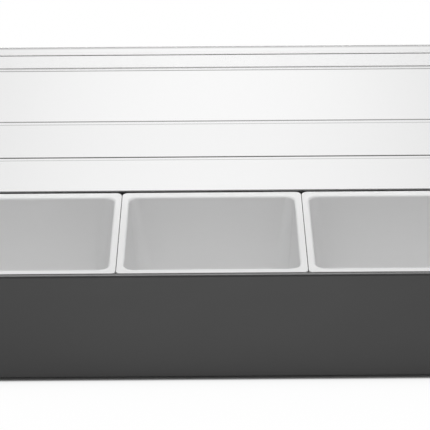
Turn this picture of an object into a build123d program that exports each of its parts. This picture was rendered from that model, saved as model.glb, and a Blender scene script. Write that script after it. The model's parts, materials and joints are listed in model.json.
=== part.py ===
from build123d import *
import os
from math import cos, radians, sin, tan

# Garnish tray: an opaque tub holds three lift-out inserts, under a clear faceted lid on two pins.
# The origin is the centre of the tub's footprint on the table, +Z is up and -Y is the front.
# Sizes are in millimetres. The lid is drawn open, resting back against the tub's rear wall.

# Inserts
insert_names = ("insert_left", "insert_middle", "insert_right")
flange_length = 149.6
flange_depth = 146.2
flange_thickness = 2.4
flange_side_width = 5.9
flange_front_width = 7.8
flange_corner_radius = 5.0
flange_edge_round = 0.6
mouth_round = 2.4
mouth_corner_radius = 8.0
insert_height = 72.0
insert_wall = 2.2
insert_draft = 4.0
insert_bottom_corner_radius = 14.0
insert_bottom_round = 6.0
insert_gap = 0.4

# Tub
rim_width = 3.8
rim_upstand = 1.0
rim_outer_round = 2.6
rim_inner_round = 0.6
base_floor = 3.2
ice_space = 15.2
base_corner_radius = 5.0
base_bottom_round = 1.8
end_gap = 0.8
seat_gap = 0.1

# Ribs that carry the flanges, two to each side of each insert
rib_thickness = 3.0
rib_gap = 0.8
rib_spacing = 92.0

# Feet
foot_height = 4.6
foot_stand = 2.6
foot_radius = 8.0
foot_round = 0.8
foot_fit = 0.15
foot_inset_x = 22.0
foot_inset_y = 14.0
foot_pad_wall = 2.4

# Pivots
pivot_inset = 16.6
pin_radius = 3.0
pin_fit = 0.05
pin_head_radius = 6.5
pin_head_thickness = 2.4
pin_head_round = 0.9
pin_tip_chamfer = 0.7
pin_slot_width = 1.2
pin_slot_depth = 4.6
pin_end_gap = 0.3
bore_depth = 7.0
boss_radius = 7.5
boss_height = 4.2
washer_radius = 7.2
washer_thickness = 0.6
washer_play = 0.1
ear_radius = 10.0

# Lid
lid_wall = 1.5
lid_open_angle = 96.0
lid_stop_gap = 0.3
lid_closed_gap = 0.5
rear_overhang = 2.2
front_overhang = 3.7
rear_slope = 25.0
middle_slope = 10.0
front_slope = 55.0
rear_facet = 62.0
middle_facet = 30.7
lip_reach = 6.0
soft_bend_radius = 10.0
tight_bend_radius = 3.0
lip_bend_radius = 7.0
lid_edge_round = 0.5
end_skirt = 4.0
end_front_inset = 3.0

# Tub sizes that follow the inserts, with room for ice under them
insert_pitch = flange_length + insert_gap
insert_count = len(insert_names)
well_length = insert_count * insert_pitch - insert_gap + 2 * end_gap
well_depth = flange_depth + 2 * end_gap
base_length = well_length + 2 * rim_width
base_depth = well_depth + 2 * rim_width
base_height = base_floor + ice_space + insert_height + rim_upstand
rim_top = foot_stand + base_height
floor_top = foot_stand + base_floor
insert_places = [(i - (insert_count - 1) / 2) * insert_pitch for i in range(insert_count)]

# Insert levels and widths
flange_top = rim_top - rim_upstand
flange_under = flange_top - flange_thickness
insert_bottom = flange_top - insert_height
mouth_length = flange_length - 2 * flange_side_width
mouth_depth = flange_depth - 2 * flange_front_width
draft_share = tan(radians(insert_draft))

# Pivot place: the lid's rear edge clears the rim on its way and stops just off the rear wall
open_angle = radians(lid_open_angle)
lid_rear_reach = pivot_inset + rear_overhang
lid_rear_rise = (pivot_inset + lid_stop_gap - lid_rear_reach * cos(open_angle)) / sin(open_angle)
pivot_y = base_depth / 2 - pivot_inset
pivot_z = rim_top + lid_closed_gap - lid_rear_rise
pivot_gap = washer_thickness + 2 * washer_play

# Lid section in its own plane: first value forward of the pivot when closed, second above it
lid_depth = base_depth + rear_overhang + front_overhang
bend_1 = (
    -lid_rear_reach + rear_facet * cos(radians(rear_slope)),
    lid_rear_rise + rear_facet * sin(radians(rear_slope)),
)
bend_2 = (
    bend_1[0] + middle_facet * cos(radians(middle_slope)),
    bend_1[1] + middle_facet * sin(radians(middle_slope)),
)
lip_end = (lid_depth - lid_rear_reach, lid_rear_rise)
lip_root = (lip_end[0] - lip_reach, lid_rear_rise)
bend_3 = (lip_root[0] - (bend_2[1] - lid_rear_rise) / tan(radians(front_slope)), bend_2[1])
rear_edge = (-lid_rear_reach, lid_rear_rise)
shell_length = base_length + 2 * (pivot_gap + lid_wall)

sides = (("left", -1), ("right", 1))


def lid_plane(x):
    """Plane of the open lid's section at x, with its origin on the pivot line."""
    forward = (0, -cos(open_angle), sin(open_angle))
    return Plane(origin=(x, pivot_y, pivot_z), x_dir=forward, z_dir=(-1, 0, 0))


def pivot_plane(x, facing):
    """Plane across the pivot line at x, facing along +X or -X."""
    return Plane(origin=(x, pivot_y, pivot_z), x_dir=(0, 1, 0), z_dir=(facing, 0, 0))


def foot_places():
    """Name and place of each foot."""
    x = base_length / 2 - foot_inset_x
    y = base_depth / 2 - foot_inset_y
    return {
        "foot_front_left": (-x, -y),
        "foot_front_right": (x, -y),
        "foot_rear_left": (-x, y),
        "foot_rear_right": (x, y),
    }


os.makedirs("parts", exist_ok=True)

# Tub
recess_depth = foot_height - foot_stand
recess_radius = foot_radius + foot_fit
rib_top = flange_under - seat_gap
rib_reach = end_gap + flange_front_width - insert_wall - rib_gap
rib_places = [
    (place + side * rib_spacing / 2, front * (well_depth - rib_reach) / 2)
    for place in insert_places
    for side in (-1, 1)
    for front in (-1, 1)
]

with BuildPart() as base:
    with BuildSketch(Plane.XY.offset(foot_stand)):
        RectangleRounded(base_length, base_depth, base_corner_radius)
    extrude(amount=base_height)
    fillet(base.faces().sort_by(Axis.Z)[0].edges(), base_bottom_round)
    with BuildSketch(Plane.XY.offset(floor_top)):
        RectangleRounded(well_length, well_depth, flange_corner_radius + end_gap)
    extrude(amount=rim_top - floor_top, mode=Mode.SUBTRACT)
    rim = base.faces().sort_by(Axis.Z)[-1]
    fillet(rim.outer_wire().edges(), rim_outer_round)
    rim = base.faces().sort_by(Axis.Z)[-1]
    fillet(rim.inner_wires()[0].edges(), rim_inner_round)
    with BuildSketch(Plane.XY.offset(floor_top)):
        with Locations(*rib_places):
            Rectangle(rib_thickness, rib_reach)
    extrude(amount=rib_top - floor_top)
    with BuildSketch(Plane.XY.offset(floor_top)):
        with Locations(*foot_places().values()):
            Circle(recess_radius + foot_pad_wall)
    extrude(amount=recess_depth)
    with BuildSketch(Plane.XY.offset(foot_stand)):
        with Locations(*foot_places().values()):
            Circle(recess_radius)
    extrude(amount=recess_depth, mode=Mode.SUBTRACT)
    for side, sign in sides:
        with BuildSketch(pivot_plane(sign * well_length / 2, -sign)):
            Circle(boss_radius)
        extrude(amount=boss_height)
        with BuildSketch(pivot_plane(sign * base_length / 2, -sign)):
            Circle(pin_radius + pin_fit)
        extrude(amount=bore_depth, mode=Mode.SUBTRACT)
base.part.label = "base"
export_step(base.part, "parts/base.step")

# Inserts
floor_level = insert_bottom + insert_wall
outer_shrink = 2 * (flange_under - insert_bottom) * draft_share
inner_shrink = 2 * (flange_top - floor_level) * draft_share

for name, place in zip(insert_names, insert_places):
    with BuildPart() as insert:
        with BuildSketch(Plane((place, 0, flange_under))):
            RectangleRounded(flange_length, flange_depth, flange_corner_radius)
        extrude(amount=flange_thickness)
        fillet(insert.faces().sort_by(Axis.Z)[-1].edges(), flange_edge_round)
        with BuildSketch(Plane((place, 0, flange_under))):
            RectangleRounded(
                mouth_length + 2 * insert_wall,
                mouth_depth + 2 * insert_wall,
                mouth_corner_radius + insert_wall,
            )
        with BuildSketch(Plane((place, 0, insert_bottom))):
            RectangleRounded(
                mouth_length + 2 * insert_wall - outer_shrink,
                mouth_depth + 2 * insert_wall - outer_shrink,
                insert_bottom_corner_radius + insert_wall,
            )
        loft()
        fillet(insert.faces().sort_by(Axis.Z)[0].edges(), insert_bottom_round + insert_wall)
        with BuildSketch(Plane((place, 0, flange_top))):
            RectangleRounded(mouth_length, mouth_depth, mouth_corner_radius)
        with BuildSketch(Plane((place, 0, floor_level))):
            RectangleRounded(
                mouth_length - inner_shrink,
                mouth_depth - inner_shrink,
                insert_bottom_corner_radius,
            )
        loft(mode=Mode.SUBTRACT)
        fillet(insert.faces().filter_by(Axis.Z).sort_by(Axis.Z)[1].edges(), insert_bottom_round)
        fillet(insert.faces().sort_by(Axis.Z)[-1].inner_wires()[0].edges(), mouth_round)
    insert.part.label = name
    export_step(insert.part, f"parts/{name}.step")

# Lid shell: one sheet bent along straight lines, with a finger lip at the front
bend_radii = [soft_bend_radius, soft_bend_radius, tight_bend_radius]

with BuildPart() as lid_shell:
    with BuildSketch(lid_plane(0)):
        with BuildLine():
            inner_line = FilletPolyline(
                rear_edge,
                bend_1,
                bend_2,
                bend_3,
                lip_root,
                lip_end,
                radius=[*bend_radii, lip_bend_radius],
            )
            offset(inner_line, amount=lid_wall, side=Side.LEFT)
        make_face()
    extrude(amount=shell_length / 2, both=True)
    long_edges = lid_shell.edges().filter_by(Axis.X).sort_by(Axis.Z)
    fillet(long_edges[:2] + long_edges[-2:], lid_edge_round)
lid_shell.part.label = "lid_shell"
export_step(lid_shell.part, "parts/lid_shell.step")

# Lid ends: panels under the shell's bends, with an ear down to the pivot
skirt_level = lid_rear_rise - end_skirt
skirt_front = (lip_root[0] - end_front_inset, skirt_level)

for side, sign in sides:
    inner_face = sign * (base_length / 2 + pivot_gap)
    outer_face = inner_face + sign * lid_wall
    with BuildPart() as lid_end:
        with BuildSketch(lid_plane(max(inner_face, outer_face))):
            with BuildLine():
                FilletPolyline(rear_edge, bend_1, bend_2, bend_3, lip_root, radius=bend_radii)
                Polyline(
                    lip_root,
                    skirt_front,
                    (2 * ear_radius, skirt_level),
                    (ear_radius, 0),
                    (-ear_radius, 0),
                    rear_edge,
                )
            make_face()
            Circle(ear_radius)
            Circle(pin_radius + pin_fit, mode=Mode.SUBTRACT)
        extrude(amount=lid_wall)
    lid_end.part.label = f"lid_end_{side}"
    export_step(lid_end.part, f"parts/lid_end_{side}.step")

# Pivot washers and pins
for side, sign in sides:
    wall_face = sign * base_length / 2
    with BuildPart() as washer:
        with BuildSketch(pivot_plane(wall_face, sign)):
            Circle(washer_radius)
            Circle(pin_radius + pin_fit, mode=Mode.SUBTRACT)
        extrude(amount=washer_thickness)
    washer.part.label = f"pivot_washer_{side}"
    export_step(washer.part, f"parts/pivot_washer_{side}.step")

    head_seat = wall_face + sign * (pivot_gap + lid_wall + washer_play)
    shaft_length = washer_play + lid_wall + pivot_gap + bore_depth - pin_end_gap
    with BuildPart() as pin:
        with BuildSketch(pivot_plane(head_seat, sign)):
            Circle(pin_head_radius)
        extrude(amount=pin_head_thickness)
        fillet(pin.faces().filter_by(Axis.X).sort_by(Axis.X)[-1 if sign > 0 else 0].edges(), pin_head_round)
        with BuildSketch(pivot_plane(head_seat, -sign)):
            Circle(pin_radius)
        extrude(amount=shaft_length)
        tip = pin.faces().filter_by(Axis.X).sort_by(Axis.X)[0 if sign > 0 else -1]
        chamfer(tip.edges(), pin_tip_chamfer)
        with BuildSketch(pivot_plane(head_seat - sign * shaft_length, sign)):
            Rectangle(2 * pin_radius, pin_slot_width)
        extrude(amount=pin_slot_depth, mode=Mode.SUBTRACT)
    pin.part.label = f"pivot_pin_{side}"
    export_step(pin.part, f"parts/pivot_pin_{side}.step")

# Feet
for name, place in foot_places().items():
    with BuildPart() as foot:
        with BuildSketch():
            with Locations(place):
                Circle(foot_radius)
        extrude(amount=foot_height)
        fillet(foot.faces().sort_by(Axis.Z)[0].edges(), foot_round)
    foot.part.label = name
    export_step(foot.part, f"parts/{name}.step")

print(f"tub {base_length:.1f} x {base_depth:.1f} mm, rim at {rim_top:.1f}, lid over all {shell_length:.1f}")
print(f"pivot at y {pivot_y:.2f}, z {pivot_z:.2f}")
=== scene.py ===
# %% [markdown]
# A garnish tray under a clear lid
# The tray is an opaque tub with three white lift-out inserts, under a clear faceted lid on two
# pins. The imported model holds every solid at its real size, and this script dresses it: parts
# whose solids already have the right shape get a finish, and the soft moulded inserts and the
# bent clear sheet are made again as smooth surfaces, because their curves carry all the
# reflections.

# %% Load the frame and keep the model's box
import json
import math

import bmesh
import bpy
import numpy as np
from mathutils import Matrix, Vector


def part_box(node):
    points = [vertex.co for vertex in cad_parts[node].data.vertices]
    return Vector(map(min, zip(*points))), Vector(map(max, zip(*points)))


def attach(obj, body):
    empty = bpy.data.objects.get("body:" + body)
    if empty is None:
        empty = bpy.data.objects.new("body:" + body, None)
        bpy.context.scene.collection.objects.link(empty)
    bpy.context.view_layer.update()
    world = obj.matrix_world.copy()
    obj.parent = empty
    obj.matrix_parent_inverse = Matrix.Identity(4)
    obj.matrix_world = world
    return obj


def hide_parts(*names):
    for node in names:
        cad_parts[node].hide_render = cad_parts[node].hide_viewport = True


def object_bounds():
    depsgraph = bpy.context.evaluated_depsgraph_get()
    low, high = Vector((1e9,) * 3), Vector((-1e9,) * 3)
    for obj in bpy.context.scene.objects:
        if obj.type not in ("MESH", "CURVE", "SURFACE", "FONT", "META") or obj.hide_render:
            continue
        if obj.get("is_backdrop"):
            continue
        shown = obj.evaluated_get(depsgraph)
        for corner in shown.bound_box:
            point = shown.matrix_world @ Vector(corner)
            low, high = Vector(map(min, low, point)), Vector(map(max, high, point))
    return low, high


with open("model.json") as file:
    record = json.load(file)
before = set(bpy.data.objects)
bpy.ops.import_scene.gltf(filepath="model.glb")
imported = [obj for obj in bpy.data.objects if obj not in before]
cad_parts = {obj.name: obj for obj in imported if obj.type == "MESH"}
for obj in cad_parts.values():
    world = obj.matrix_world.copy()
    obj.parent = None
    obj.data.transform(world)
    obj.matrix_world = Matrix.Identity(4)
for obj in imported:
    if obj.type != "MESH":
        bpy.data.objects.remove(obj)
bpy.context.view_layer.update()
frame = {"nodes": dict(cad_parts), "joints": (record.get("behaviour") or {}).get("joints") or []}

NODES = frame["nodes"]
JOINTS = {joint["name"]: joint for joint in frame["joints"]}
MM = 0.001

# %% [markdown]
# Where things are
# Nothing is placed by eye. The tub, the inserts and the pivot come from the frame, and only the
# sizes that a bounding box can't give, such as a wall or a bend, are named here.

# %% Places from the frame, and the sizes of walls and bends
TUB_LOW, TUB_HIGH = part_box("base")
PIVOT = JOINTS["lid_hinge"]["pos_m"]
LID_OPEN = math.radians(-JOINTS["lid_hinge"]["range_deg"][0])

INSERTS = ("insert_left", "insert_middle", "insert_right")
FLANGE_THICKNESS = 2.4 * MM
FLANGE_SIDE_WIDTH = 5.9 * MM
FLANGE_FRONT_WIDTH = 7.8 * MM
FLANGE_CORNER = 5.0 * MM
FLANGE_TOP_ROUND = 0.6 * MM
FLANGE_UNDER_ROUND = 0.5 * MM
MOUTH_ROUND = 2.4 * MM
MOUTH_CORNER = 8.0 * MM
INSERT_WALL = 2.2 * MM
INSERT_DRAFT = math.radians(4.0)
INSERT_FLOOR_CORNER = 14.0 * MM
INSERT_FLOOR_ROUND = 6.0 * MM

LID_WALL = 1.5 * MM
REAR_OVERHANG = 2.2 * MM
FRONT_OVERHANG = 3.7 * MM
STOP_GAP = 0.3 * MM
REAR_SLOPE = math.radians(25.0)
MIDDLE_SLOPE = math.radians(10.0)
FRONT_SLOPE = math.radians(55.0)
REAR_FACET = 62.0 * MM
MIDDLE_FACET = 30.7 * MM
LIP_REACH = 6.0 * MM
SOFT_BEND = 10.0 * MM
TIGHT_BEND = 3.0 * MM
LIP_BEND = 7.0 * MM
EDGE_POLISH = 0.4 * MM
print("pivot", [round(v / MM, 2) for v in PIVOT], "lid opens", round(math.degrees(LID_OPEN), 1))

# %% [markdown]
# One way to put a grid into a mesh
# Most moulded and bent parts are a profile carried round a loop or along a line. As arrays that
# is a grid of points, rows by columns, whose neighbours make quads. The loop closes on itself,
# and the first and last rows are closed with a face each, so that every piece is watertight.

# %% Grid surfaces
SHARP_FROM = math.radians(40.0)


def grid_object(name, rows):
    """Closed mesh from an array of shape (rows, columns, 3) whose columns close on themselves.

    Quad (r, c) joins points (r, c), (r, c+1), (r+1, c+1) and (r+1, c); the end rows are one
    face each.
    """
    count, width = rows.shape[:2]
    r, c = np.meshgrid(np.arange(count - 1), np.arange(width), indexing="ij")
    this_row, next_row, after = r * width, (r + 1) * width, (c + 1) % width
    quads = np.stack([this_row + c, this_row + after, next_row + after, next_row + c], -1)
    caps = [list(range(width))[::-1], list(range((count - 1) * width, count * width))]
    mesh = bpy.data.meshes.new(name)
    mesh.from_pydata(rows.reshape(-1, 3).tolist(), [], quads.reshape(-1, 4).tolist() + caps)
    return linked(name, mesh)


def linked(name, mesh):
    """Object of a closed mesh, with its faces turned outwards and shaded smooth."""
    shell = bmesh.new()
    shell.from_mesh(mesh)
    bmesh.ops.recalc_face_normals(shell, faces=shell.faces)
    shell.to_mesh(mesh)
    shell.free()
    mesh.shade_smooth()
    made = bpy.data.objects.new(name, mesh)
    bpy.context.scene.collection.objects.link(made)
    return made


def flats_stay_flat(piece):
    """Weights each corner's normal by face area, so broad flats shade flat between round edges."""
    piece.data.set_sharp_from_angle(angle=SHARP_FROM)
    weigh = piece.modifiers.new("flats", "WEIGHTED_NORMAL")
    weigh.keep_sharp = True


def turn(start, end, steps):
    """Angles from start to end in degrees, as radians."""
    return np.radians(np.linspace(start, end, steps))


# %% [markdown]
# The inserts
# Each insert is one injection moulding: drafted walls so that it leaves its mould, a floor with a
# soft round, and a flange whose inner edge rolls into the wall. Box modelling with bevels could
# do this, but the corner radius grows from mouth to floor. As rings of a rounded rectangle, each
# with its own inset, corner radius and height, the whole skin is one closed grid.

# %% Rings of rounded rectangles
CORNER_STEPS = 10


def rounded_rings(half_x, half_y, inset, deeper, corner, height):
    """Grid of rounded rectangles, one row for each inset, corner radius and height.

    A point is its corner's centre, the half size less inset and corner, plus a quarter turn of
    radius corner. In y a ring is inset deeper by its own amount.
    """
    quarter = turn(0, 90, CORNER_STEPS)
    angle = np.concatenate([quarter + k * math.pi / 2 for k in range(4)])
    side_x = np.repeat([1, -1, -1, 1], CORNER_STEPS)
    side_y = np.repeat([1, 1, -1, -1], CORNER_STEPS)
    columns = (np.asarray(v)[:, None] for v in (inset, deeper, corner, height))
    inset, deeper, corner, height = columns
    x = side_x * (half_x - inset - corner) + corner * np.cos(angle)
    y = side_y * (half_y - inset - deeper - corner) + corner * np.sin(angle)
    return np.stack([x, y, np.broadcast_to(height, x.shape)], -1)


# %% Profile of an insert
ROUND_STEPS = 8
FLANGE_TOP_STEPS = 6
FLANGE_UNDER_STEPS = 4


def insert_profile(top, bottom):
    """Inset from the flange edge, inset in y beyond it, corner radius and height of each ring.

    The rings go up the outside and down the inside. All but the flange's own edges lie deeper
    in y, because the flange is wider at front and rear than at its sides.

    A drafted face's inset grows by the tangent of the draft for each step down. A round between
    a face and a flat is an arc whose centre stands off the face by its radius over the draft's
    cosine.
    """
    slope = math.tan(INSERT_DRAFT)
    lean = math.degrees(INSERT_DRAFT)
    under = top - FLANGE_THICKNESS
    floor = bottom + INSERT_WALL

    def face(height, wall, start, end):
        """Inset and corner radius of a drafted face, from its start level down to its end."""
        down = start - height
        grown = down / (start - end) * (INSERT_FLOOR_CORNER - MOUTH_CORNER)
        return FLANGE_SIDE_WIDTH - wall + down * slope, MOUTH_CORNER + wall + grown

    def floor_round(radius, level, wall, start, angle):
        """Arc between a drafted face and a flat below it."""
        height = level + radius * (1 - np.sin(angle))
        centre = face(level + radius, wall, start, level)[0] + radius / math.cos(INSERT_DRAFT)
        flush, corner = face(height, wall, start, level)
        inset = centre - radius * np.cos(angle)
        return inset, corner - (inset - flush), height

    to_face, to_flat = turn(90, lean, ROUND_STEPS), turn(lean, 90, ROUND_STEPS)
    outer_round = INSERT_FLOOR_ROUND + INSERT_WALL
    outer = floor_round(outer_round, bottom, INSERT_WALL, under, to_face)
    inner = floor_round(INSERT_FLOOR_ROUND, floor, 0.0, top, to_flat)
    neck = [np.array([v]) for v in (*face(under, INSERT_WALL, under, bottom), under)]

    low = turn(-90, 0, FLANGE_UNDER_STEPS)
    inset = FLANGE_UNDER_ROUND * (1 - np.cos(low))
    height = under + FLANGE_UNDER_ROUND * (1 + np.sin(low))
    lower_edge = (inset, FLANGE_CORNER - inset, height)

    high = turn(0, 90, FLANGE_TOP_STEPS)
    inset = FLANGE_TOP_ROUND * (1 - np.cos(high))
    height = top - FLANGE_TOP_ROUND * (1 - np.sin(high))
    upper_edge = (inset, FLANGE_CORNER - inset, height)

    height = top - MOUTH_ROUND * (1 - np.sin(to_face))
    flush, corner = face(height, 0.0, top, floor)
    stands_off = MOUTH_ROUND / math.cos(INSERT_DRAFT)
    centre = face(top - MOUTH_ROUND, 0.0, top, floor)[0] - stands_off
    inset = centre + MOUTH_ROUND * np.cos(to_face)
    mouth = (inset, corner + (flush - inset), height)

    deep = FLANGE_FRONT_WIDTH - FLANGE_SIDE_WIDTH
    outside = [(outer, deep), (neck, deep), (lower_edge, 0.0), (upper_edge, 0.0)]
    inside = [(mouth, deep), (inner, deep)]
    rings = [
        (inset, np.full(len(inset), deeper), corner, height)
        for (inset, corner, height), deeper in outside + inside
    ]
    return [np.concatenate(parts) for parts in zip(*rings)]


# %% Insert skins
inserts = []
for node in INSERTS:
    low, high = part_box(node)
    middle = np.array([(low.x + high.x) / 2, (low.y + high.y) / 2, 0.0])
    profile = insert_profile(high.z, low.z)
    rings = rounded_rings((high.x - low.x) / 2, (high.y - low.y) / 2, *profile)
    piece = grid_object(node + "_skin", rings + middle)
    flats_stay_flat(piece)
    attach(piece, node)
    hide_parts(node)
    inserts.append(piece)
print("inserts", len(inserts), "with", len(inserts[0].data.polygons), "faces each")

# %% [markdown]
# The lid sheet
# The lid is a flat clear sheet, heated and bent along straight lines. Its section is a line of
# facets with an arc at each bend, and the outer face is that line moved out by the wall. A bent
# strip with a Solidify modifier could make it too, but a closed section gives the sheet's sawn
# and polished edges their own rounds, which clear plastic shows as dark lines. How far each
# point has run along the section goes into the mesh as an attribute, so that the finish can
# later find the bends.

# %% Section of the lid
ARC_STEPS = 13


def lid_corners():
    """Corners of the lid's inner face in its own section, as it is when the lid is shut.

    Each is how far it lies forward of the pivot, and how far above it.
    """
    inset = TUB_HIGH.y - PIVOT[1]
    reach = inset + REAR_OVERHANG
    rise = (inset + STOP_GAP - reach * math.cos(LID_OPEN)) / math.sin(LID_OPEN)
    depth = TUB_HIGH.y - TUB_LOW.y + REAR_OVERHANG + FRONT_OVERHANG
    rear = np.array([-reach, rise])
    first = rear + REAR_FACET * np.array([math.cos(REAR_SLOPE), math.sin(REAR_SLOPE)])
    second = first + MIDDLE_FACET * np.array([math.cos(MIDDLE_SLOPE), math.sin(MIDDLE_SLOPE)])
    lip_end = np.array([depth - reach, rise])
    lip_root = lip_end - np.array([LIP_REACH, 0.0])
    third = np.array([lip_root[0] - (second[1] - rise) / math.tan(FRONT_SLOPE), second[1]])
    return np.array([rear, first, second, third, lip_root, lip_end])


def bent_line(corners, radii):
    """Points and left-hand normals along straight runs whose corners are arcs.

    At a corner that turns by t, the arc of radius r starts r * tan(t / 2) before it, its centre
    stands off by r towards the inside of the turn, and its normal is the first run's, turned.
    """
    ways = np.diff(corners, axis=0)
    ways /= np.linalg.norm(ways, axis=1)[:, None]
    left = np.stack([-ways[:, 1], ways[:, 0]], -1)
    before, after = ways[:-1], ways[1:]
    cross = before[:, 0] * after[:, 1] - before[:, 1] * after[:, 0]
    turns = np.arctan2(cross, (before * after).sum(-1))
    signed = np.sign(turns) * radii
    starts = corners[1:-1] - before * (radii * np.tan(np.abs(turns) / 2))[:, None]
    centres = starts + signed[:, None] * left[:-1]
    spin = turns[:, None] * np.linspace(0.0, 1.0, ARC_STEPS)
    x, y = left[:-1, 0, None], left[:-1, 1, None]
    cos, sin = np.cos(spin), np.sin(spin)
    normals = np.stack([x * cos - y * sin, x * sin + y * cos], -1)
    arcs = centres[:, None] - signed[:, None, None] * normals
    line = np.concatenate([corners[:1], arcs.reshape(-1, 2), corners[-1:]])
    return line, np.concatenate([left[:1], normals.reshape(-1, 2), left[-1:]])


BEND_RADII = np.array([SOFT_BEND, SOFT_BEND, TIGHT_BEND, LIP_BEND])
line, normals = bent_line(lid_corners(), BEND_RADII)
steps = np.linalg.norm(np.diff(line, axis=0), axis=1)
run = np.concatenate([[0.0], np.cumsum(steps)])
bends = [(run[1 + k * ARC_STEPS], run[(k + 1) * ARC_STEPS]) for k in range(len(BEND_RADII))]
print("section", round(run[-1] / MM, 1), "mm, bends at",
      [(round(start / MM, 1), round(end / MM, 1)) for start, end in bends])

# %% Loop round the sheet
POLISH_STEPS = 5


def sheet_loop(inset):
    """Closed loop round the sheet's section, moved in by inset, with each point's run and skin.

    At both ends two quarter rounds of the polish radius join the inner skin, 0, and the outer
    skin, 1.
    """
    wall = LID_WALL - 2 * inset
    inner = line + normals * inset
    outer = inner + normals * wall
    polish = EDGE_POLISH - inset
    low, high = turn(-90, 0, POLISH_STEPS), turn(0, 90, POLISH_STEPS)
    across = np.concatenate([polish * (1 + np.sin(low)), wall - polish * (1 - np.sin(high))])
    through = across / wall
    across = across[:, None]
    out = polish * (np.cos(np.concatenate([low, high])) - 1)[:, None] - inset
    front = inner[-1] + across * normals[-1] + out * np.array([normals[-1][1], -normals[-1][0]])
    rear = inner[0] + across * normals[0] - out * np.array([normals[0][1], -normals[0][0]])
    loop = np.concatenate([inner[1:-1], front, outer[-2:0:-1], rear[::-1]])
    front_run, rear_run = np.full(len(front), run[-1]), np.zeros(len(rear))
    along = np.concatenate([run[1:-1], front_run, run[-2:0:-1], rear_run])
    between = len(run) - 2
    skin = np.concatenate([np.zeros(between), through, np.ones(between), through[::-1]])
    return loop, along, skin


def opened(section, x):
    """Section points (forward, up), turned by the open angle about the pivot, at a place x."""
    forward, up = section[:, 0], section[:, 1]
    y = PIVOT[1] - forward * math.cos(LID_OPEN) + up * math.sin(LID_OPEN)
    z = PIVOT[2] + forward * math.sin(LID_OPEN) + up * math.cos(LID_OPEN)
    return np.stack([np.full_like(y, x), y, z], -1)


# %% Lid sheet
SHELL_LOW, SHELL_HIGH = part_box("lid_shell")
END_TURN = 80.0
END_STEPS = 4
# Each end is a quarter round. Its first ring, where the turn is 0, has no size and is left out.
quarter = turn(0, END_TURN, END_STEPS)[1:]
insets = EDGE_POLISH * (1 - np.sin(quarter))
places = EDGE_POLISH * (1 - np.cos(quarter))
stations = [(inset, SHELL_LOW.x + place) for inset, place in zip(insets, places)]
stations += [(inset, SHELL_HIGH.x - place) for inset, place in zip(insets[::-1], places[::-1])]
loops = [sheet_loop(inset) for inset, _ in stations]
rows = np.array([opened(loop, x) for (loop, _, _), (_, x) in zip(loops, stations)])
lid_sheet = grid_object("lid_sheet", rows)
for column, name in enumerate(("run", "skin"), start=1):
    mark = lid_sheet.data.attributes.new(name, "FLOAT", "POINT")
    values = np.concatenate([loop[column] for loop in loops])
    mark.data.foreach_set("value", values.astype(np.float32))
flats_stay_flat(lid_sheet)
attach(lid_sheet, "lid")
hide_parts("lid_shell")
print("lid sheet", len(lid_sheet.data.polygons), "faces")

# %% [markdown]
# The lid's end panels
# Each end is a flat panel cut to the section and cemented under the sheet. Cut plastic has its
# edges scraped and polished, so a merged copy of the solid gets small round edges. It stands a
# hair inside the solid, because two clear faces in one place can't be told apart by a ray.

# %% End panels
CEMENT_LINE = 0.04 * MM
PANEL_POLISH = 0.35 * MM
PANEL_POLISH_STEPS = 3
SAME_POINT = 0.001 * MM
SAME_FLAT = math.radians(0.5)
panels = []
for node in ("lid_end_left", "lid_end_right"):
    mesh = NODES[node].data.copy()
    mesh.name = node + "_panel"
    shell = bmesh.new()
    shell.from_mesh(mesh)
    bmesh.ops.remove_doubles(shell, verts=shell.verts, dist=SAME_POINT)
    bmesh.ops.dissolve_limit(shell, angle_limit=SAME_FLAT, verts=shell.verts, edges=shell.edges)
    shell.to_mesh(mesh)
    shell.free()
    piece = linked(node + "_panel", mesh)
    edges = piece.modifiers.new("edges", "BEVEL")
    edges.width = PANEL_POLISH
    edges.segments = PANEL_POLISH_STEPS
    edges.limit_method = "ANGLE"
    edges.angle_limit = SHARP_FROM
    hair = piece.modifiers.new("hair", "DISPLACE")
    hair.strength = -CEMENT_LINE
    hair.mid_level = 0.0
    flats_stay_flat(piece)
    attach(piece, "lid")
    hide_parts(node)
    panels.append(piece)
print("end panels", [len(p.data.polygons) for p in panels])

# %% [markdown]
# Finishes
# The tub is satin moulded plastic, the inserts are smooth and white, the pins are black, the
# washers natural nylon and the feet rubber. Each is one Principled shader. What changes over
# the surface, a fine moulded grain or faint handling marks, comes from node groups that several
# finishes share. Painted pictures could carry the marks, but noise on a piece's own coordinates
# needs no unwrapping, is as fine as the camera asks for, and moves with the piece.


# %% Node helpers
def grey(level):
    """Colour whose three parts are one level."""
    return (level, level, level)


def maths(tree, operation, *values):
    """Math node whose inputs are sockets or plain numbers."""
    made = tree.nodes.new("ShaderNodeMath")
    made.operation = operation
    for slot, value in zip(made.inputs, values):
        if isinstance(value, bpy.types.NodeSocket):
            tree.links.new(value, slot)
        else:
            slot.default_value = value
    return made.outputs[0]


def noise(tree, scale, detail, stretch=(1.0, 1.0, 1.0)):
    """Noise on Object coordinates, with so many features to the metre."""
    place = tree.nodes.new("ShaderNodeTexCoord")
    mapping = tree.nodes.new("ShaderNodeMapping")
    mapping.inputs["Scale"].default_value = stretch
    made = tree.nodes.new("ShaderNodeTexNoise")
    made.inputs["Detail"].default_value = detail
    tree.links.new(place.outputs["Object"], mapping.inputs["Vector"])
    tree.links.new(mapping.outputs["Vector"], made.inputs["Vector"])
    if isinstance(scale, bpy.types.NodeSocket):
        tree.links.new(scale, made.inputs["Scale"])
    else:
        made.inputs["Scale"].default_value = scale
    return made.outputs["Fac"]


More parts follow.
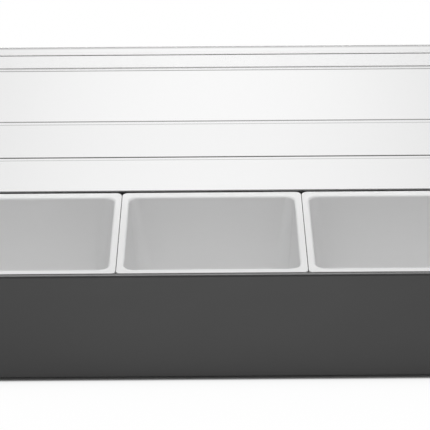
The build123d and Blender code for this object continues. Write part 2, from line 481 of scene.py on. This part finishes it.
def group_of(name, inputs, output):
    """Empty shader node group with named number inputs and one number output."""
    tree = bpy.data.node_groups.new(name, "ShaderNodeTree")
    kind = "NodeSocketFloat"
    for label, value in inputs.items():
        socket = tree.interface.new_socket(label, in_out="INPUT", socket_type=kind)
        socket.default_value = value
    tree.interface.new_socket(output, in_out="OUTPUT", socket_type=kind)
    given = tree.nodes.new("NodeGroupInput").outputs
    return tree, given, tree.nodes.new("NodeGroupOutput").inputs


def placed(tree, group, **values):
    """Node that places a group with its own values, which are sockets or plain numbers."""
    made = tree.nodes.new("ShaderNodeGroup")
    made.node_tree = group
    for label, value in values.items():
        if isinstance(value, bpy.types.NodeSocket):
            tree.links.new(value, made.inputs[label])
        else:
            made.inputs[label].default_value = value
    return made.outputs[0]


# %% Moulded grain and handling marks
GRAIN_DETAIL = 3.0
GRAIN, given, out = group_of("moulded_grain", {"Bumps": 1800.0}, "Height")
GRAIN.links.new(noise(GRAIN, given["Bumps"], GRAIN_DETAIL), out["Height"])

WIPES_TO_THE_METRE = 45.0
WIPE_DETAIL = 5.0
WIPE_STRETCH = (0.4, 1.0, 1.0)
NOISE_MIDDLE = 0.5
HANDLING, given, out = group_of("handling_marks", {"Roughness": 0.3, "Amount": 0.1}, "Roughness")
wiped = noise(HANDLING, WIPES_TO_THE_METRE, WIPE_DETAIL, WIPE_STRETCH)
swing = maths(HANDLING, "SUBTRACT", wiped, NOISE_MIDDLE)
swing = maths(HANDLING, "MULTIPLY", swing, given["Amount"])
HANDLING.links.new(maths(HANDLING, "ADD", given["Roughness"], swing), out["Roughness"])

# %% Line along a bend
# The mask is full over the inner half of the line's half width, and falls to nothing at its edge.
LINE_FALL = 2.0
LINE_INPUTS = {"Run": 0.0, "Place": 0.0, "Half": MM, "Depth": 1.0}
LINE, given, out = group_of("line_at", LINE_INPUTS, "Mask")
away = maths(LINE, "ABSOLUTE", maths(LINE, "SUBTRACT", given["Run"], given["Place"]))
near = maths(LINE, "SUBTRACT", 1.0, maths(LINE, "DIVIDE", away, given["Half"]))
near = maths(LINE, "MAXIMUM", maths(LINE, "MULTIPLY", near, LINE_FALL), 0.0)
core = maths(LINE, "MINIMUM", near, 1.0)
LINE.links.new(maths(LINE, "MULTIPLY", core, given["Depth"]), out["Mask"])

# %% Opaque plastics
DRIFTS_TO_THE_METRE = 9.0
DRIFT_DETAIL = 4.0


def colour_mix(tree, factor, first, second):
    """Colour that goes from the first to the second as a factor goes from 0 to 1."""
    made = tree.nodes.new("ShaderNodeMix")
    made.data_type = "RGBA"
    colours = [slot for slot in made.inputs if slot.type == "RGBA"]
    colours[0].default_value = (*first, 1)
    colours[1].default_value = (*second, 1)
    tree.links.new(factor, made.inputs[0])
    return next(slot for slot in made.outputs if slot.type == "RGBA")


def bump(tree, height, distance):
    """Normal of a height of 0 to 1 that stands for so many metres."""
    made = tree.nodes.new("ShaderNodeBump")
    made.inputs["Distance"].default_value = distance
    tree.links.new(height, made.inputs["Height"])
    return made.outputs["Normal"]


def plastic(name, dark, light, roughness, marks, bumps, height, shine=0.5):
    """Opaque plastic: a colour that drifts from dark to light, a wiped gloss and a moulded grain.

    The grain has so many bumps to the metre, and its height is in metres.
    """
    made = bpy.data.materials.new(name)
    made.use_nodes = True
    tree = made.node_tree
    shader = tree.nodes["Principled BSDF"]
    drift = noise(tree, DRIFTS_TO_THE_METRE, DRIFT_DETAIL)
    gloss = placed(tree, HANDLING, Roughness=roughness, Amount=marks)
    grain = bump(tree, placed(tree, GRAIN, Bumps=bumps), height)
    tree.links.new(colour_mix(tree, drift, dark, light), shader.inputs["Base Color"])
    tree.links.new(gloss, shader.inputs["Roughness"])
    tree.links.new(grain, shader.inputs["Normal"])
    shader.inputs["Specular IOR Level"].default_value = shine
    return made


TUB = plastic(
    "tub_satin", dark=grey(0.041), light=grey(0.046),
    roughness=0.36, marks=0.1, bumps=2600.0, height=0.02 * MM, shine=0.8,
)
WHITE = plastic(
    "insert_white", dark=grey(0.755), light=grey(0.775),
    roughness=0.34, marks=0.06, bumps=300.0, height=0.003 * MM,
)
PIN = plastic(
    "pin_black", dark=(0.028, 0.028, 0.029), light=(0.034, 0.034, 0.035),
    roughness=0.35, marks=0.08, bumps=1500.0, height=0.01 * MM,
)
NYLON = plastic(
    "washer_nylon", dark=(0.72, 0.71, 0.67), light=(0.78, 0.77, 0.73),
    roughness=0.5, marks=0.1, bumps=1500.0, height=0.01 * MM,
)
RUBBER = plastic(
    "foot_rubber", dark=grey(0.022), light=grey(0.03),
    roughness=0.75, marks=0.1, bumps=1200.0, height=0.05 * MM,
)
print("opaque finishes", [m.name for m in (TUB, WHITE, PIN, NYLON, RUBBER)])

# %% [markdown]
# Clear sheet
# Clear plastic is a transmitting shader that lets lamps through, so that it casts no dark shadow.
# At each bend the outer skin is painted with a thin pair of dark grey lines, and the front end
# with one more: painted shade that stands in for the dark lines which the curved bends and the
# edge show by reflection and refraction. Grooves in the mesh would be finer than its bends'
# facets, so the lines are a mask on the run along the section instead.

# %% Painted shade lines at the bends
# Each is its place along the section, its half width and how far its painted shade darkens the
# skin.
PAINTED_SHADE_LINES = (
    (bends[0][0], 0.45 * MM, 0.5),
    (bends[0][1] - 0.5 * MM, 0.65 * MM, 1.0),
    (bends[1][0] - 0.7 * MM, 0.5 * MM, 0.5),
    (bends[1][1] - 0.1 * MM, 0.65 * MM, 0.9),
    (bends[2][0] + 0.3 * MM, 0.4 * MM, 0.85),
    (bends[2][1] + 1.4 * MM, 2.1 * MM, 1.0),
    # The last is painted shade along the sheet's front edge.
    (run[-1], 1.8 * MM, 0.6),
)

# %% Clear sheet
SHEET_IOR = 1.49
SHEET_COLOUR = grey(0.945)
# Colour of the painted shade lines, which stand in for the dark lines that the bends show.
PAINTED_SHADE_COLOUR = grey(0.01)
SHEET_ROUGHNESS = 0.015
SHEET_MARKS = 0.03
WAVES_TO_THE_METRE = 30.0
WAVE_DETAIL = 1.0
WAVE_HEIGHT = 0.01 * MM


def marked(tree, name):
    """Value of a mesh attribute, which is 0 on a piece without it."""
    made = tree.nodes.new("ShaderNodeAttribute")
    made.attribute_name = name
    return made.outputs["Fac"]


# Painted shade: dark lines on the outer skin where the bends and the front edge look dark.
def painted_shade_mask(tree, lines):
    """Mask that is 1 in the core of a line and 0 away from them all, on the outer skin alone."""
    ran, skin = marked(tree, "run"), marked(tree, "skin")
    mask = 0.0
    for place, half, depth in lines:
        line_mask = placed(tree, LINE, Run=ran, Place=place, Half=half, Depth=depth)
        mask = maths(tree, "ADD", line_mask, mask)
    return maths(tree, "MULTIPLY", maths(tree, "MINIMUM", mask, 1.0), skin)


def clear_plastic(name, lines):
    """Clear plastic with painted shade along lines (place, half width, depth) on its outer skin.
    """
    made = bpy.data.materials.new(name)
    made.use_nodes = True
    tree = made.node_tree
    shader = tree.nodes["Principled BSDF"]
    shader.inputs["Transmission Weight"].default_value = 1.0
    shader.inputs["IOR"].default_value = SHEET_IOR
    # The sheet's grey tint, darkened by the painted shade lines.
    sheet = colour_mix(tree, painted_shade_mask(tree, lines), SHEET_COLOUR, PAINTED_SHADE_COLOUR)
    gloss = placed(tree, HANDLING, Roughness=SHEET_ROUGHNESS, Amount=SHEET_MARKS)
    waves = bump(tree, noise(tree, WAVES_TO_THE_METRE, WAVE_DETAIL), WAVE_HEIGHT)
    tree.links.new(sheet, shader.inputs["Base Color"])
    tree.links.new(gloss, shader.inputs["Roughness"])
    tree.links.new(waves, shader.inputs["Normal"])
    through = tree.nodes.new("ShaderNodeBsdfTransparent")
    through.inputs["Color"].default_value = (*SHEET_COLOUR, 1)
    path = tree.nodes.new("ShaderNodeLightPath")
    mix = tree.nodes.new("ShaderNodeMixShader")
    tree.links.new(path.outputs["Is Shadow Ray"], mix.inputs[0])
    tree.links.new(shader.outputs[0], mix.inputs[1])
    tree.links.new(through.outputs[0], mix.inputs[2])
    tree.links.new(mix.outputs[0], tree.nodes["Material Output"].inputs["Surface"])
    return made


CLEAR = clear_plastic("lid_clear", PAINTED_SHADE_LINES)
print("clear sheet with", len(PAINTED_SHADE_LINES), "lines")


# %% Finishes onto pieces
def finish(piece, material):
    """Gives every slot of a piece one finish."""
    if not piece.data.materials:
        piece.data.materials.append(material)
    for slot in piece.material_slots:
        slot.material = material


for piece in inserts:
    finish(piece, WHITE)
for piece in (lid_sheet, *panels):
    finish(piece, CLEAR)
NODE_FINISHES = {"base": TUB, "pivot_pin": PIN, "pivot_washer": NYLON, "foot": RUBBER}
for prefix, material in NODE_FINISHES.items():
    names = [name for name in NODES if name.startswith(prefix)]
    for name in names:
        finish(NODES[name], material)
    print(material.name, "on", *names)

# %% [markdown]
# Studio
# One broad soft light hangs above the tray and a little in front, at a level at which colours
# keep their written values. The floor's own colour is a light grey, which takes the tray's
# shadow. A few millimetres out from the tray it has turned into the white of the sweep, for the
# camera and through clear plastic. In a reflection that takes some centimetres, so that the
# front wall darkens towards its foot. The room in front of the tray is dim, which draws the dark
# line along each rounded edge.


# %% Rays that see the white
def mirrored(tree):
    """Factor that is 1 for a reflected ray, and 0 for one that went through clear plastic."""
    path = tree.nodes.new("ShaderNodeLightPath")
    glossy, transmitted = path.outputs["Is Glossy Ray"], path.outputs["Is Transmission Ray"]
    return maths(tree, "MAXIMUM", maths(tree, "SUBTRACT", glossy, transmitted), 0.0)


def seen_white(tree, glossy=True):
    """Factor that is 1 for camera rays and through clear plastic, and in a reflection too."""
    path = tree.nodes.new("ShaderNodeLightPath")
    camera_ray, transmitted = path.outputs["Is Camera Ray"], path.outputs["Is Transmission Ray"]
    seen = maths(tree, "MAXIMUM", camera_ray, transmitted)
    return maths(tree, "MAXIMUM", seen, path.outputs["Is Glossy Ray"]) if glossy else seen


# %% Floor
FLOOR_HALF = 4.0
FLOOR_GREY = 0.55
FLOOR_ROUGHNESS = 0.8
corners = [(x * FLOOR_HALF, y * FLOOR_HALF, 0.0) for x, y in ((-1, -1), (1, -1), (1, 1), (-1, 1))]
mesh = bpy.data.meshes.new("floor")
mesh.from_pydata(corners, [], [(0, 1, 2, 3)])
floor = bpy.data.objects.new("floor", mesh)
bpy.context.scene.collection.objects.link(floor)
floor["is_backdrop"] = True
sweep = bpy.data.materials.new("sweep")
sweep.use_nodes = True
floor.data.materials.append(sweep)
tree = sweep.node_tree
own = tree.nodes["Principled BSDF"]
own.inputs["Base Color"].default_value = (*grey(FLOOR_GREY), 1)
own.inputs["Roughness"].default_value = FLOOR_ROUGHNESS
own.inputs["Specular IOR Level"].default_value = 0.0
place = tree.nodes.new("ShaderNodeTexCoord")
split = tree.nodes.new("ShaderNodeSeparateXYZ")
tree.links.new(place.outputs["Object"], split.inputs[0])

# %% The floor's white, a painted pool of light that falls towards both sides
# Through plastic and in a reflection the sweep is a little darker by the square of the distance
# to the tray's middle, up to a limit, and the camera itself sees it plain white.
# Painted pool of light: the white seen through plastic and in reflections is brightest at the
# middle.
SIDE_FALL = 2.2
SIDE_FALL_MOST = 0.12
white = tree.nodes.new("ShaderNodeEmission")
path = tree.nodes.new("ShaderNodeLightPath")
sideways = split.outputs["X"]
fall = maths(tree, "MULTIPLY", maths(tree, "MULTIPLY", sideways, sideways), SIDE_FALL)
fall = maths(tree, "MINIMUM", fall, SIDE_FALL_MOST)
indirect = maths(tree, "SUBTRACT", 1.0, path.outputs["Is Camera Ray"])
indirect = maths(tree, "ADD", indirect, mirrored(tree))
strength = maths(tree, "SUBTRACT", 1.0, maths(tree, "MULTIPLY", fall, indirect))
tree.links.new(strength, white.inputs["Strength"])

# %% From the floor's own colour to the white
# At a distance d from the tub's footprint the white's share is d / (d + reach).
SHADE_REACH = 0.5 * MM
GLOSS_REACH = 50 * MM
square = 0.0
for axis, edge in (("X", TUB_HIGH.x), ("Y", TUB_HIGH.y)):
    past = maths(tree, "SUBTRACT", maths(tree, "ABSOLUTE", split.outputs[axis]), edge)
    past = maths(tree, "POWER", maths(tree, "MAXIMUM", past, 0.0), 2.0)
    square = maths(tree, "ADD", past, square)
beyond = maths(tree, "SQRT", square)
reach = maths(tree, "MULTIPLY", mirrored(tree), GLOSS_REACH)
reach = maths(tree, "ADD", reach, SHADE_REACH)
share = maths(tree, "DIVIDE", beyond, maths(tree, "ADD", beyond, reach))
mix = tree.nodes.new("ShaderNodeMixShader")
tree.links.new(maths(tree, "MULTIPLY", share, seen_white(tree)), mix.inputs[0])
tree.links.new(own.outputs[0], mix.inputs[1])
tree.links.new(white.outputs[0], mix.inputs[2])
tree.links.new(mix.outputs[0], tree.nodes["Material Output"].inputs["Surface"])
print("floor", 2 * FLOOR_HALF, "m wide")

# %% World
# It lights the tray a little, reflects as a room that is dim in front and white behind, and is
# plain white to the camera and through clear plastic.
WORLD_SHARE = 0.4
DIM_ROOM = 0.05
DIM_UP_TO = -0.5
WHITE_FROM = 0.1
world = bpy.data.worlds.new("studio")
bpy.context.scene.world = world
world.use_nodes = True
tree = world.node_tree
ambient = tree.nodes["Background"]
reflected = tree.nodes.new("ShaderNodeBackground")
backdrop = tree.nodes.new("ShaderNodeBackground")
for light, strength in ((ambient, WORLD_SHARE), (backdrop, 1.0)):
    light.inputs["Strength"].default_value = strength
for light in (ambient, reflected, backdrop):
    light.inputs["Color"].default_value = (*grey(1.0), 1)
direction = tree.nodes.new("ShaderNodeTexCoord")
split = tree.nodes.new("ShaderNodeSeparateXYZ")
tree.links.new(direction.outputs["Generated"], split.inputs[0])
room = tree.nodes.new("ShaderNodeMapRange")
room.interpolation_type = "SMOOTHSTEP"
room.inputs["From Min"].default_value = DIM_UP_TO
room.inputs["From Max"].default_value = WHITE_FROM
room.inputs["To Min"].default_value = DIM_ROOM
room.inputs["To Max"].default_value = 1.0
tree.links.new(split.outputs["Y"], room.inputs["Value"])
tree.links.new(room.outputs["Result"], reflected.inputs["Strength"])
path = tree.nodes.new("ShaderNodeLightPath")
unseen = tree.nodes.new("ShaderNodeMixShader")
tree.links.new(path.outputs["Is Glossy Ray"], unseen.inputs[0])
tree.links.new(ambient.outputs[0], unseen.inputs[1])
tree.links.new(reflected.outputs[0], unseen.inputs[2])
mix = tree.nodes.new("ShaderNodeMixShader")
tree.links.new(seen_white(tree, glossy=False), mix.inputs[0])
tree.links.new(unseen.outputs[0], mix.inputs[1])
tree.links.new(backdrop.outputs[0], mix.inputs[2])
tree.links.new(mix.outputs[0], tree.nodes["World Output"].inputs["Surface"])

# %% Lamp
# A floor facing a lamp of power P at a distance d renders its colour times P / (pi * d) ** 2.
# The lamp's share of that level and the world's add up to about 1.
LAMP_SHARE = 0.62
LAMP_PLACE = np.array([0.0, -0.35, 2.3])
LAMP_AIM = np.array([0.0, 0.0, 0.05])
LAMP_SIDE = 1.5
way = LAMP_AIM - LAMP_PLACE
distance = np.linalg.norm(way)
facing = -way[2] / distance
lamp = bpy.data.lights.new("softbox", "AREA")
lamp.size = LAMP_SIDE
lamp.energy = LAMP_SHARE * (math.pi * distance) ** 2 / facing
softbox = bpy.data.objects.new("softbox", lamp)
bpy.context.scene.collection.objects.link(softbox)
softbox.location = LAMP_PLACE
softbox.rotation_euler = (math.atan2(way[1], -way[2]), 0.0, 0.0)
print("softbox", round(lamp.energy, 1), "W")

# %% [markdown]
# The camera
# The photograph looks down at the front by about 26 degrees from well back, a long lens with
# little perspective, and its horizon leans by less than half a degree.

# %% Camera
CAMERA_PITCH = math.radians(26.0)
CAMERA_DISTANCE = 1644.1 * MM
CAMERA_AIM = (2.6 * MM, 0.0, TUB_HIGH.z + 13.4 * MM)
CAMERA_ROLL = math.radians(0.42)
FOCAL_PIXELS = 2043.7
PHOTO_WIDTH = 430
SENSOR_WIDTH = 36.0
camera = bpy.data.cameras.new("camera")
camera.sensor_width = SENSOR_WIDTH
camera.lens = FOCAL_PIXELS / PHOTO_WIDTH * SENSOR_WIDTH
view = bpy.data.objects.new("camera", camera)
bpy.context.scene.collection.objects.link(view)
bpy.context.scene.camera = view
view.location = (
    CAMERA_AIM[0],
    CAMERA_AIM[1] - CAMERA_DISTANCE * math.cos(CAMERA_PITCH),
    CAMERA_AIM[2] + CAMERA_DISTANCE * math.sin(CAMERA_PITCH),
)
view.rotation_mode = "XYZ"
view.rotation_euler = (math.pi / 2 - CAMERA_PITCH, 0.0, 0.0)
view.rotation_euler.rotate_axis("Z", -CAMERA_ROLL)
bpy.context.scene.view_settings.view_transform = "Standard"
print("lens", round(camera.lens, 1), "mm")

# %% Sizes of the finished scene, and the end
low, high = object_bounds()
